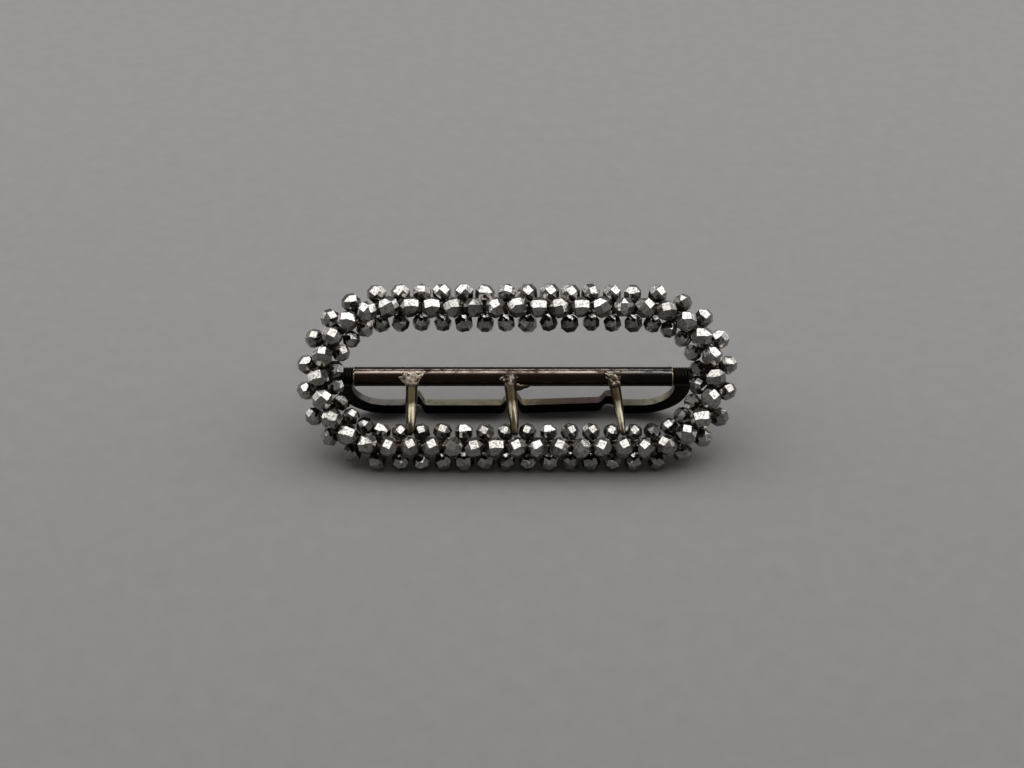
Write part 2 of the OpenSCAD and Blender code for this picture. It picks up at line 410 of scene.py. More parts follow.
steps = (-1, 0, 1)
ways = [(x, y, z) for x in steps for y in steps for z in steps]
facing = [Vector(way) for way in ways if any(way)]


def cut_flat(direction, depth):
    """Cuts off what lies further out than depth and closes the cut with a flat face."""
    take_all()
    bpy.ops.mesh.bisect(plane_co=direction * depth, plane_no=direction, use_fill=True,
                        clear_outer=True, threshold=TINY)


def drill(blank, diameter, length):
    """Drills a hole along Z."""
    start_fresh()
    bpy.ops.mesh.primitive_cylinder_add(vertices=HOLE_SIDES, radius=diameter / 2, depth=length)
    combine(blank, bpy.context.object, "DIFFERENCE")


def grind_bead(name, across, seed):
    """One hand-ground bead of 26 flats, drilled along Z."""
    hand = random.Random(seed)
    skew = Matrix.Rotation(hand.uniform(-HOLE_SKEW, HOLE_SKEW), 3, "X")
    skew = Matrix.Rotation(hand.uniform(-HOLE_SKEW, HOLE_SKEW), 3, "Y") @ skew
    start_fresh()
    bpy.ops.mesh.primitive_cube_add(size=BLANK_SIZE * across)
    bead = bpy.context.object
    bead.name = name
    bpy.ops.object.mode_set(mode="EDIT")
    for flat in facing:
        slip = Vector([hand.uniform(-ANGLE_SLIP, ANGLE_SLIP) for axis in range(3)])
        depth = across / 2 * (CORNER_CUT if all(flat) else 1)
        depth *= 1 - hand.uniform(0, DEPTH_SLIP)
        cut_flat((skew @ flat.normalized() + slip).normalized(), depth)
    bpy.ops.object.mode_set(mode="OBJECT")
    drill(bead, BEAD_HOLE_D, 2 * across)
    apply_modifier(bead, "BEVEL", width=EDGE_WEAR, segments=1, limit_method="ANGLE",
                   angle_limit=EDGE_FROM)
    return bead


# %% [markdown]
# ## Stringing the three rows
#
# On the wire a bead is free to turn about its hole, so each one shows another side. It is
# tried in many turns. Of those in which its corners clear the last bead's, the one that
# turns the most of its flats to the light is kept, as nearly every bead of the real buckle
# has a bright band over its upper half. A bead that lies right below the raised middle row
# sees the light only over that row, so for it a flat has to lean back further, and counts
# only if it hardly faces sideways. The winding is by hand too: beads sit a tenth of a
# millimetre off their place. Next to the prongs they stay exact, so that the points keep
# their clearance, and no bead sinks into the floor. Ten beads of several sizes are ground
# for a row, and every copy of one has its own mesh.

# %% String a row of beads
MASTERS = 10
TRIES = 90
KEPT_TRIES = 18
BEAD_CLEAR = 0.03 * MM
PRONG_STATIONS = (17, 22, 27)
NEAR_PRONG = 1.1
SLANT = atan2(PITCH, 2 * ROW_GAP)
SIDE_TILT = radians(20)
# Parts of a flat's normal: the least and the most that it leans back and the most that it leans
# sideways to mirror the light, and what is added to each right below the middle row
LIT = (0.29, 0.6, 0.9)
BELOW_MIDDLE = (0.28, 0.08, -0.6)
SEEN_FROM = 0.35

beads_at = {}


def near_prong(q):
    """Whether station q is beside one of the gaps that the prongs' points rest in."""
    return any(abs(q - station) < NEAR_PRONG for station in PRONG_STATIONS)


def hole_line(row, q):
    """Direction of the hole of a row's bead at station q, in the oval's plane."""
    if row == "middle":
        return sin(SLANT) * along(q) - cos(SLANT) * outward(q)
    inwards = -1 if row == "outer" else 1
    return Vector((0, 0, cos(SIDE_TILT))) + inwards * sin(SIDE_TILT) * outward(q)


def reach(points, direction):
    """How far the points reach along a direction."""
    return max(point.dot(direction) for point in points)


def lit_flats(row, q):
    """Between which upward leans, and up to which sideways lean, a flat mirrors the light."""
    shaded = max(0.0, {"outer": -1, "middle": 0, "inner": 1}[row] * outward(q).y)
    return [open_to + shaded * more for open_to, more in zip(LIT, BELOW_MIDDLE)]


def shine(master, turned, lit):
    """Area, as the viewer sees it, of the flats that lean back enough to mirror the light."""
    least, most, sideways = lit
    total = 0.0
    for face in master.data.polygons:
        normal = turned @ face.normal
        if least < normal.y < most and abs(normal.x) < sideways and normal.z > SEEN_FROM:
            total += face.area * normal.z
    return total


def turn_bead(hand, masters, hole, last, step, lit):
    """Picks a bead and a turn about its hole that clears the last one and takes the light."""
    upright = hole.to_track_quat("Z", "Y").to_matrix()
    way = step.normalized()
    clear = []
    tight = []
    for attempt in range(TRIES):
        master = hand.choice(masters)
        turned = upright @ Matrix.Rotation(hand.uniform(0, 2 * pi), 3, "Z")
        points = [turned @ vert.co for vert in master.data.vertices]
        room = step.length - reach(last, way) - reach(points, -way)
        if room > BEAD_CLEAR:
            clear.append((shine(master, turned, lit), attempt, master, turned, points))
        else:
            tight.append((room, attempt, master, turned, points))
        if len(clear) == KEPT_TRIES:
            break
    return max(clear or tight)[2:]


def string_row(row, start, out, rise, slips, seed):
    """Grinds the row's beads, turns each on the wire, and joins all 44 into one piece."""
    hand = random.Random(seed)
    sizes = [1 + (LARGEST[row] - 1) * i / (MASTERS - 1) for i in range(MASTERS)]
    masters = [grind_bead(f"{row}_master_{i}", size * BEAD_W[row], seed + i)
               for i, size in enumerate(sizes)]
    small = masters[:MASTERS // 3]
    copies = []
    last = [Vector()]
    last_centre = place(start - 1, out, rise)
    for k in range(TURNS):
        q = k + start
        loose = 0.0 if near_prong(q) else 1.0
        slip_along, slip_out, slip_rise = [loose * hand.uniform(-s * MM, s * MM) for s in slips]
        centre = place(q, out + slip_out, rise + slip_rise) + slip_along * along(q)
        hole = hole_line(row, q)
        master, turned, last = turn_bead(hand, small if near_prong(q) else masters, hole, last,
                                         centre - last_centre, lit_flats(row, q))
        last_centre = centre
        beads_at[row, k] = (centre, hole)
        bead = master.copy()
        bead.data = master.data.copy()
        bpy.context.scene.collection.objects.link(bead)
        bead.data.transform(STAND @ Matrix.Translation(centre) @ turned.to_4x4())
        sunk = min(0.0, min(vert.co.z for vert in bead.data.vertices))
        bead.data.transform(Matrix.Translation((0, 0, -sunk)))
        tone = bead.data.attributes.new("bead_tone", "FLOAT", "FACE")
        shade = hand.random()
        tone.data.foreach_set("value", [shade] * len(bead.data.polygons))
        copies.append(bead)
    for master in masters:
        bpy.data.objects.remove(master)
    return join(copies, f"{row}_row")


# For each row: its first station, how far out and how high it lies, how far a bead may slip
# along, out and up in mm, and the seed of the hand that grinds and strings it
plans = {"outer": (0.5, ROW_GAP, SIDE_RISE, (0.15, 0.1, 0.12), 11),
         "middle": (0.0, 0.0, MIDDLE_RISE, (0.04, 0.12, 0.1), 23),
         "inner": (0.5, -ROW_GAP, SIDE_RISE, (0.03, 0.08, 0.12), 37)}
rows = [string_row(row, *plan) for row, plan in plans.items()]
for row in rows:
    print(row.name, "has", len(row.data.polygons), "faces")

# %% [markdown]
# ## A map in millimetres on every flat
#
# The grinding marks run straight across one flat and another way on the next. So each face
# gets its own piece of map, in real millimetres, turned at random: a pattern drawn on it
# then has the wheel's real grit, and changes direction from flat to flat.

# %% Map each flat in millimetres
MAP_SPREAD = 90


def map_flats(piece, seed):
    """Unfolds every face by itself, one map unit to the millimetre, each turned at random."""
    hand = random.Random(seed)
    mesh = piece.data
    flat_map = mesh.uv_layers.new(name="flats_mm")
    for face in mesh.polygons:
        level = face.normal.orthogonal().normalized()
        level = Matrix.Rotation(hand.uniform(0, pi), 3, face.normal) @ level
        across = face.normal.cross(level)
        shift = Vector((hand.uniform(0, MAP_SPREAD), hand.uniform(0, MAP_SPREAD)))
        for corner in face.loop_indices:
            point = mesh.vertices[mesh.loops[corner].vertex_index].co - face.center
            flat_map.data[corner].uv = shift + Vector((point.dot(level), point.dot(across))) / MM


for index, row in enumerate(rows):
    map_flats(row, 50 + index)

# %% [markdown]
# ## The binding wire
#
# Thin soft iron wire goes up through an outer bead, down through the middle and inner
# beads, and straight across the back of the rod to the next turn. It is a curve along
# those points, with two more close to each corner so that it bends and doesn't kink,
# made a mesh at the wire's real thickness.

# %% Wind the wire
WIRE_D = 0.35 * MM
WIRE_PAST = 0.2 * MM
BACK_OUT = 1.15 * MM
BACK_RISE = -1.8 * MM
CORNER_EASE = 0.22 * MM


def turn_of_wire(k):
    """The eight points of turn k, through the beads where they really sit."""
    points = []
    for row, turn, way in (("outer", k - 1, 1), ("middle", k, 1), ("inner", k, -1)):
        centre, hole = beads_at[row, turn % TURNS]
        half = way * (BEAD_W[row] / 2 + WIRE_PAST) * hole
        points += [centre - half, centre + half]
    return points + [place(k + 0.5, out, BACK_RISE) for out in (-BACK_OUT, BACK_OUT)]


def eased(route):
    """The route with a point just before and just after each corner, for a small round bend."""
    points = []
    for i, corner in enumerate(route):
        to_last = (route[i - 1] - corner).normalized()
        to_next = (route[(i + 1) % len(route)] - corner).normalized()
        points += [corner + CORNER_EASE * to_last, corner, corner + CORNER_EASE * to_next]
    return points


def wind_wire():
    """The whole wire as one closed tube."""
    route = eased([point for k in range(TURNS) for point in turn_of_wire(k)])
    start_fresh()
    bpy.ops.curve.primitive_nurbs_path_add()
    wire = bpy.context.object
    wire.name = "wound_wire"
    wire.data.splines.clear()
    run = wire.data.splines.new("NURBS")
    run.points.add(len(route) - 1)
    for point, target in zip(route, run.points):
        stood = STAND @ point
        stood.z = max(stood.z, WIRE_D)
        target.co = (*stood, 1.0)
    run.use_cyclic_u = True
    run.order_u = 3
    run.resolution_u = 2
    wire.data.bevel_depth = WIRE_D / 2
    wire.data.bevel_resolution = 1
    wire.data.resolution_u = 2
    bpy.ops.object.convert(target="MESH")
    wire = bpy.context.object
    bpy.ops.object.shade_smooth()
    return wire


wire = wind_wire()
print("wire has", len(wire.data.polygons), "faces")

# %% [markdown]
# ## The tube of the bar
#
# The bar is a thin brass tube, lacquered brown, that slips over the pin. Its section is a
# thin rectangle, spun round the pin, and a lip is then turned up at each end.

# %% Spin the tube
TUBE_D = 3.43 * MM
TUBE_LEFT = -29.0 * MM
TUBE_RIGHT = 27.7 * MM
TUBE_MID = (TUBE_LEFT + TUBE_RIGHT) / 2
BORE_D = 1.6 * MM
RIM_W = 0.45 * MM
RIM_OUT = 0.05 * MM
EDGE_ROUND = 0.12 * MM
SPIN_STEPS = 64
HARD_FROM = radians(35)
SOFT_FROM = radians(50)


def spin_section(name, left, right, inner_r, outer_r, cuts):
    """Spins a rectangle round X into a hollow barrel, with cuts rings of points along its length."""
    start_fresh()
    middle = ((left + right) / 2, (inner_r + outer_r) / 2, 0)
    bpy.ops.mesh.primitive_plane_add(size=1, location=middle)
    barrel = bpy.context.object
    barrel.name = name
    barrel.scale = (right - left, outer_r - inner_r, 1)
    freeze()
    bpy.ops.object.mode_set(mode="EDIT")
    for x in cuts:
        take_all()
        bpy.ops.mesh.bisect(plane_co=(x, 0, 0), plane_no=(1, 0, 0), threshold=TINY)
    bpy.ops.mesh.select_mode(type="FACE")
    take_all()
    bpy.ops.mesh.delete(type="ONLY_FACE")
    pick(barrel, "EDGE", lambda middle, edge: edge.is_wire and left + CLOSE < middle.x < right - CLOSE
         and abs(edge.verts[0].co.x - edge.verts[1].co.x) < TINY)
    bpy.ops.mesh.delete(type="EDGE")
    take_all()
    bpy.ops.mesh.spin(steps=SPIN_STEPS, angle=2 * pi, center=(0, 0, 0), axis=(1, 0, 0))
    take_all()
    bpy.ops.mesh.remove_doubles(threshold=CLOSE)
    finish_mesh()
    return barrel


rim_cuts = [TUBE_LEFT + RIM_W, TUBE_LEFT + 1.5 * RIM_W,
            TUBE_RIGHT - 1.5 * RIM_W, TUBE_RIGHT - RIM_W]
lip_size = 1 + 2 * RIM_OUT / TUBE_D
tube = spin_section("bar_tube", TUBE_LEFT, TUBE_RIGHT, BORE_D / 2, TUBE_D / 2, rim_cuts)
bpy.ops.object.mode_set(mode="EDIT")
pick(tube, "FACE", lambda middle, face: hypot(middle.y, middle.z) > 0.95 * TUBE_D / 2
     and (middle.x < TUBE_LEFT + RIM_W or middle.x > TUBE_RIGHT - RIM_W))
bpy.ops.transform.resize(value=(1, lip_size, lip_size), center_override=(0, 0, 0))
bpy.ops.object.mode_set(mode="OBJECT")
apply_modifier(tube, "BEVEL", width=EDGE_ROUND, segments=2, limit_method="ANGLE",
               angle_limit=radians(40))
smooth(tube, HARD_FROM)
settle(tube, AT_PIN)
print("tube has", len(tube.data.polygons), "faces")

# %% [markdown]
# ## The three prongs
#
# Each prong is a short brass rod, soldered to the front of the tube and drawn down to a
# point that rests between two beads. It is a circle, extruded from section to section down
# its own line and scaled at each one, a little bowed, and then subdivided until it is round.

# %% Draw a prong
PRONG_D = 2.0 * MM
PRONG_SIDES = 12
PRONG_BOW = 0.25 * MM
TUBE_CLEAR_R = TUBE_D / 2 - 0.1 * MM
ROOT_OUT = 1.1
TIP_UP, TIP_OUT = -10.15, 4.75
# Where along the bar each root is, in mm, and in which gap between the beads the point rests
prongs = {"left": (-18.6, -5), "middle": (-1.35, -0.07), "right": (17.1, 5)}
# The sections of a prong: how far down it they are, and how wide as shares of PRONG_D
section_at = (0.0, 0.12, 0.3, 0.5, 0.66, 0.8, 0.9, 0.96, 1.0, 1.02)
section_width = {"left": (1.08, 1.08, 1.08, 1.08, 1.05, 0.94, 0.76, 0.64, 0.46, 0.24),
                 "middle": (1.08, 1.08, 1.08, 1.02, 0.92, 0.8, 0.7, 0.61, 0.49, 0.27),
                 "right": (1.02, 1.02, 1.01, 0.88, 0.8, 0.68, 0.58, 0.52, 0.42, 0.26)}


def prong_line(prong):
    """Start and run of a prong's middle line, measured from the pin."""
    root_x, gap = prong
    root = Vector((root_x, 0, ROOT_OUT)) * MM
    tip = Vector((gap * PITCH / MM, TIP_UP, TIP_OUT)) * MM
    return root, tip - root


def on_prong(prong, share):
    """Place on a prong's bowed middle line."""
    root, run = prong_line(prong)
    return root + share * run - Vector((0, 0, 4 * PRONG_BOW * share * (1 - share)))


def cut_for_tube(piece):
    """Cuts away what would lie inside the tube, so that the bore stays free."""
    start_fresh()
    bpy.ops.mesh.primitive_cylinder_add(vertices=SPIN_STEPS, radius=TUBE_CLEAR_R,
                                        depth=TUBE_RIGHT - TUBE_LEFT,
                                        rotation=(0, radians(90), 0))
    combine(piece, bpy.context.object, "DIFFERENCE")


def draw_prong(side):
    """One prong, from its root in the solder to its point."""
    prong = prongs[side]
    sections = list(zip(section_at, section_width[side]))
    root, run = prong_line(prong)
    tilt = run.to_track_quat("Z", "X").to_euler()
    start_fresh()
    bpy.ops.mesh.primitive_circle_add(vertices=PRONG_SIDES, radius=PRONG_D / 2 * sections[0][1],
                                      fill_type="NGON", location=root, rotation=tilt)
    rod = bpy.context.object
    rod.name = f"prong_{side}"
    freeze()
    bpy.ops.object.mode_set(mode="EDIT")
    take_all()
    for (last_share, last_width), (share, width) in zip(sections, sections[1:]):
        centre = on_prong(prong, share)
        step = centre - on_prong(prong, last_share)
        bpy.ops.mesh.extrude_region_move(TRANSFORM_OT_translate={"value": step})
        ratio = width / last_width
        bpy.ops.transform.resize(value=(ratio, ratio, ratio), center_override=centre)
    finish_mesh()
    apply_modifier(rod, "SUBSURF", levels=2, render_levels=2)
    cut_for_tube(rod)
    smooth(rod, SOFT_FROM)
    settle(rod, AT_PIN)
    return rod


prong_pieces = [draw_prong(side) for side in prongs]
print("a prong has", len(prong_pieces[0].data.polygons), "faces")

# %% [markdown]
# ## Crusty solder
#
# The prongs are sweated on with solder that spreads both ways along the tube and creeps
# down the prong. It is a flattened ball, a flared collar and a few ridges that run together
# at the root, each a row of drops. They are remeshed into one skin, pushed in and out by a
# cloud pattern for the lumps, and smoothed before and after until it flows like metal that
# was liquid.

# %% Lay the solder
SOLDER_GRAIN = 0.1 * MM
LUMP_SIZE = 0.9 * MM
LUMP_DEPTH = 0.35 * MM
SOLDER_SOFT = 0.6
COLLAR_L = 2.4 * MM
COLLAR_END_R = 0.9 * MM
PATCH_OUT, PATCH_THICK = 0.05, 0.75
# A ridge: its drops, how far down and how far in towards the prong it runs, and its distance
# from the pin. A drop grows from its first size by the second one, and is long for its width.
RIDGE_DROPS = 5
RIDGE_END_UP = -1.2
RIDGE_IN = 0.8
RIDGE_R = 1.6
DROP_FIRST, DROP_MORE, DROP_LONG = 0.3, 0.22, 1.3

lumpy = bpy.data.textures.new("solder_lumps", "CLOUDS")
lumpy.noise_scale = LUMP_SIZE
lumpy.noise_depth = 2


def drop(centre, sizes):
    """A round lump of the three half widths."""
    start_fresh()
    bpy.ops.mesh.primitive_ico_sphere_add(subdivisions=4, radius=1, location=centre)
    lump = bpy.context.object
    lump.scale = sizes
    freeze()
    return lump


def lay_solder(side, patch, collar, ridges, spill):
    """The solder at one prong's root."""
    root, run = prong_line(prongs[side])
    height, half_length, half_height = patch
    lumps = [drop(root + Vector((0, height, PATCH_OUT)) * MM,
                  Vector((half_length, half_height, PATCH_THICK)) * MM)]
    start_fresh()
    bpy.ops.mesh.primitive_cone_add(vertices=32, radius1=collar * MM, radius2=COLLAR_END_R,
                                    depth=COLLAR_L, location=root + COLLAR_L / 2 * run.normalized(),
                                    rotation=run.to_track_quat("Z", "X").to_euler())
    lumps.append(bpy.context.object)
    for x, y in ridges:
        for step in range(RIDGE_DROPS):
            share = step / (RIDGE_DROPS - 1)
            up = y + share * (RIDGE_END_UP - y)
            size = DROP_FIRST + DROP_MORE * share
            on_tube = Vector((x * (1 - RIDGE_IN * share), up, sqrt(RIDGE_R ** 2 - up ** 2)))
            lumps.append(drop(Vector((root.x, 0, 0)) + on_tube * MM,
                              Vector((DROP_LONG * size, size, size)) * MM))
    for offset, sizes in spill:
        lumps.append(drop(root + Vector(offset) * MM, Vector(sizes) * MM))
    solder = join(lumps, f"solder_{side}")
    apply_modifier(solder, "REMESH", mode="VOXEL", voxel_size=SOLDER_GRAIN)
    apply_modifier(solder, "SMOOTH", factor=SOLDER_SOFT, iterations=9)
    apply_modifier(solder, "DISPLACE", texture=lumpy, strength=LUMP_DEPTH, mid_level=0.52,
                   texture_coords="LOCAL")
    apply_modifier(solder, "SMOOTH", factor=SOLDER_SOFT, iterations=3)
    cut_for_tube(solder)
    smooth(solder, SOFT_FROM)
    settle(solder, AT_PIN)
    return solder


# Two drops make the wedge that hangs under the tube to the right of the middle prong
WEDGE = (((1.5, -1.75, -0.4), (1.1, 0.85, 0.6)), ((2.6, -1.65, -0.6), (1.2, 0.5, 0.5)))
# For each prong, in mm: the patch's height and half sizes, the collar's radius, X and Y where
# each ridge starts on the tube, and the place and half sizes of each drop that spilled
solder_plans = {"left": ((0.1, 1.6, 0.9), 1.7, ((-2.1, -0.2), (2.1, 0.7), (-1.5, 0.5)), ()),
                "middle": ((-0.5, 1.2, 0.8), 1.5, ((-1.5, -0.4), (1.2, -0.2), (-0.4, 0.3)), WEDGE),
                "right": ((0.0, 1.1, 0.8), 1.4, ((-1.5, 0.8), (1.4, 0.9), (-0.9, -0.2)), ())}
solder_pieces = [lay_solder(side, *plan) for side, plan in solder_plans.items()]
print("a lump of solder has", len(solder_pieces[0].data.polygons), "faces")

# %% [markdown]
# ## The sash loop
#
# The loop is one strip of plate: down one arm, round a corner, along the foot with its
# three bends, round the other corner and up. Its surface is a single edge, extruded and spun
# along that way, and the bends are rounded. They were pressed between two dies, so the plate
# is given its thickness straight through, and is thinner in their slanted sides. A bevel rubs
# its edges round, and weighted normals keep the flats beside it flat. The ends are rolled
# round the pin in two ridged barrels.

# %% Draw the strip of the loop
PLATE_T = 1.3 * MM
STRIP_W = 2.75 * MM
LOOP_L = 11.33 * MM
ARM_IN = 28.9 * MM
CORNER_R = 5.6 * MM
KNUCKLE_OUT = 31.25 * MM
BEND_H = 2.0 * MM
BEND_HALF = 0.7 * MM
BEND_SLANT = 1.1 * MM
BEND_ROUND = 0.4 * MM
ARM_TOP = -1.0 * MM
START_L = 0.5 * MM
CORNER_STEPS = 12
CORNER_Y = CORNER_R + STRIP_W - LOOP_L
bends = [x * MM - TUBE_MID for x in (-18.6, -0.8, 17.0)]
# How far the foot has been pushed back just before each bend
pushed_back = [0.0, 0.0, 0.55 * MM]


def push(step):
    """Extrudes what is selected by one step."""
    bpy.ops.mesh.extrude_region_move(TRANSFORM_OT_translate={"value": step})


def round_corner(side):
    """Spins the end edge a quarter turn round a corner of the loop, on the side -1 or 1."""
    centre = (side * (ARM_IN - CORNER_R), CORNER_Y, 0)
    bpy.ops.mesh.spin(steps=CORNER_STEPS, angle=radians(-90), center=centre, axis=(0, 0, 1))


start_fresh()
bpy.ops.mesh.primitive_plane_add(size=1, location=(0, 0, 0))
loop = bpy.context.object
loop.name = "loop_plate"
loop.scale = (KNUCKLE_OUT - ARM_IN, START_L, 1)
loop.location = (-(KNUCKLE_OUT + ARM_IN) / 2, ARM_TOP - START_L / 2, 0)
freeze()
bpy.ops.object.mode_set(mode="EDIT")
pick(loop, "EDGE", lambda middle, edge: middle.y < ARM_TOP - 0.8 * START_L)
push((0, CORNER_Y - ARM_TOP + START_L, 0))
pick(loop, "VERT", lambda middle, vert: middle.y < CORNER_Y + CLOSE and middle.x < CLOSE - KNUCKLE_OUT)
bpy.ops.transform.translate(value=(KNUCKLE_OUT - ARM_IN - STRIP_W, 0, 0))
pick(loop, "EDGE", lambda middle, edge: middle.y < CORNER_Y + CLOSE)
round_corner(-1)
foot_x = CORNER_R - ARM_IN
for bend, back in zip(bends, pushed_back):
    for x, z_step in ((bend - BEND_HALF - BEND_SLANT, -back), (bend - BEND_HALF, back - BEND_H),
                      (bend + BEND_HALF, 0), (bend + BEND_HALF + BEND_SLANT, BEND_H)):
        push((x - foot_x, 0, z_step))
        foot_x = x
push((ARM_IN - CORNER_R - foot_x, 0, 0))
round_corner(1)
push((0, ARM_TOP - CORNER_Y, 0))
pick(loop, "VERT", lambda middle, vert: middle.y > ARM_TOP - CLOSE
     and middle.x > ARM_IN + STRIP_W - CLOSE)
bpy.ops.transform.translate(value=(KNUCKLE_OUT - ARM_IN - STRIP_W, 0, 0))
take_all()
bpy.ops.mesh.remove_doubles(threshold=CLOSE)
pick(loop, "EDGE", lambda middle, edge: middle.y < STRIP_W - LOOP_L
     and abs(edge.verts[0].co.x - edge.verts[1].co.x) < CLOSE
     and any(abs(middle.x - bend) < BEND_HALF + BEND_SLANT + CLOSE for bend in bends))
bpy.ops.mesh.bevel(offset=BEND_ROUND, segments=3, affect="EDGES")
take_all()
bpy.ops.transform.translate(value=(0, 0, PLATE_T / 2))
push((0, 0, -PLATE_T))
finish_mesh()
print("strip of plate, mm:", [round(c / MM, 2) for c in loop.dimensions])

# %% Roll its ends round the pin
KNUCKLE_D = 3.4 * MM
KNUCKLE_W = 2.75 * MM
RIDGES = 5
RIDGE_DEPTH = 0.16 * MM


def roll_knuckle(left):
    """One ridged barrel, starting at left and one knuckle wide."""
    right = left + KNUCKLE_W
    step = KNUCKLE_W / (2 * RIDGES)
    grooves = [left + (2 * i + 1) * step for i in range(RIDGES)]
    crests = [left + 2 * i * step for i in range(1, RIDGES)]
    barrel = spin_section("knuckle", left, right, BORE_D / 2, KNUCKLE_D / 2,
                          sorted(grooves + crests))
    bpy.ops.object.mode_set(mode="EDIT")
    shrink = 1 - 2 * RIDGE_DEPTH / KNUCKLE_D
    pick(barrel, "VERT", lambda middle, vert: hypot(middle.y, middle.z) > 0.9 * KNUCKLE_D / 2
         and min(abs(middle.x - groove) for groove in grooves) < CLOSE)
    bpy.ops.transform.resize(value=(1, shrink, shrink), center_override=(0, 0, 0))
    bpy.ops.object.mode_set(mode="OBJECT")
    return barrel


for left in (-KNUCKLE_OUT, KNUCKLE_OUT - KNUCKLE_W):
    combine(loop, roll_knuckle(left), "UNION")
apply_modifier(loop, "BEVEL", width=EDGE_ROUND, segments=2, limit_method="ANGLE",
               angle_limit=radians(50))
smooth(loop, HARD_FROM)
apply_modifier(loop, "WEIGHTED_NORMAL", keep_sharp=True)
settle(loop, AT_LOOP @ Matrix.Translation((TUBE_MID, 0, 0)))
print("loop has", len(loop.data.polygons), "faces")

# %% [markdown]
# ## Cut steel
#
# Hardened steel, ground flat on a wheel and polished, and by now a hundred years old. The
# flats still mirror the light, so the metal is nearly smooth, but they aren't truly flat:
# they waver a little, show the wheel's marks, and have grey and brown spots of old rust.

# %% Coordinates and cut steel
def in_plane_mm(add, matrix):
    """Object coordinates as millimetres in the plane that the matrix stands up."""
    flat = matrix.inverted()
    where = add("TexCoord")
    return add("Mapping", {"Vector": where.outputs["Object"], "Location": flat.translation / MM,
                           "Rotation": flat.to_euler(), "Scale": (1 / MM, 1 / MM, 1 / MM)})


def cut_steel(add):
    place_mm = in_plane_mm(add, STAND)
    flats = add("UVMap", uv_map="flats_mm")
    marks_at = add("Mapping", {"Vector": flats, "Scale": (0.9, 9.0, 1.0)})
    marks = add("TexNoise", {"Vector": marks_at, "Scale": 1.0, "Detail": 4.0})
    waver = add("TexNoise", {"Vector": place_mm, "Scale": 1.3, "Detail": 2.0})
    spots = add("TexNoise", {"Vector": place_mm, "Scale": 2.6, "Detail": 5.0, "Roughness": 0.65})
    tone = add("Attribute", attribute_name="bead_tone")
    spotted = add("MapRange", {"Value": spots, "From Min": 0.48, "From Max": 0.7})
    metal = add("Mix", (tone.outputs["Fac"], "#b3b0ad", "#9a9793"), data_type="RGBA")
    tarnished = add("Mix", (spotted, metal, "#58514b"), data_type="RGBA")
    gloss = add("MapRange", {"Value": spots, "From Min": 0.35, "From Max": 0.7, "To Min": 0.1,
                             "To Max": 0.3})
    wavy = add("Bump", {"Height": waver, "Distance": 0.03 * MM})
    ground = add("Bump", {"Height": marks, "Distance": 0.003 * MM, "Normal": wavy})
    return {"Base Color": tarnished, "Metallic": 1.0, "Roughness": gloss, "Normal": ground}


steel = make_material("cut_steel_ground_and_polished", cut_steel)
for row in rows:
    paint(row, steel)

# %% [markdown]
# ## Plain metals
#
# The rod, the pin and the wire are plain iron and steel, darkened by age. One recipe does
# for all of them: two tones of metal in blotches a millimetre or so wide, a roughness that
# follows the blotches, and a shallow bump. The real surface gives each its two tones.

# %% Rod, pin and wire
def dark_metal(add, matrix, tones, blotch_mm, rough, bump_mm):
    """A metal in two tones, blotched."""
    place_mm = in_plane_mm(add, matrix)
    blotch = add("TexNoise", {"Vector": place_mm, "Scale": 1 / blotch_mm, "Detail": 5.0,
                              "Roughness": 0.6})
    share = add("MapRange", {"Value": blotch, "From Min": 0.38, "From Max": 0.64})
    tone = add("Mix", (share, tones[0], tones[1]), data_type="RGBA")
    dull = add("MapRange", {"Value": blotch, "From Min": 0.3, "From Max": 0.7, "To Min": rough[0],
                            "To Max": rough[1]})
    pitted = add("Bump", {"Height": blotch, "Distance": bump_mm * MM})
    return {"Base Color": tone, "Metallic": 1.0, "Roughness": dull, "Normal": pitted}


# Iron rod, blackened in oil: dull, with brown where the black has gone
blackened_rod = make_material("iron_rod_oil_blackened", dark_metal, STAND, ("#4a443e", "#6b5546"),
                              1.2, (0.4, 0.65), 0.05)
# Drawn steel pin: plain grey with a dull shine
drawn_pin = make_material("steel_pin_drawn", dark_metal, AT_PIN, ("#8b8680", "#6e655c"),
                          1.0, (0.3, 0.5), 0.02)
# Soft iron binding wire: dark, a little brown
binding_iron = make_material("iron_wire_annealed", dark_metal, STAND, ("#2b2724", "#332b25"),
                             0.7, (0.4, 0.6), 0.02)
frame["nodes"]["frame_ring"].material_slots[0].material = blackened_rod
frame["nodes"]["hinge_pin"].material_slots[0].material = drawn_pin
paint(wire, binding_iron)
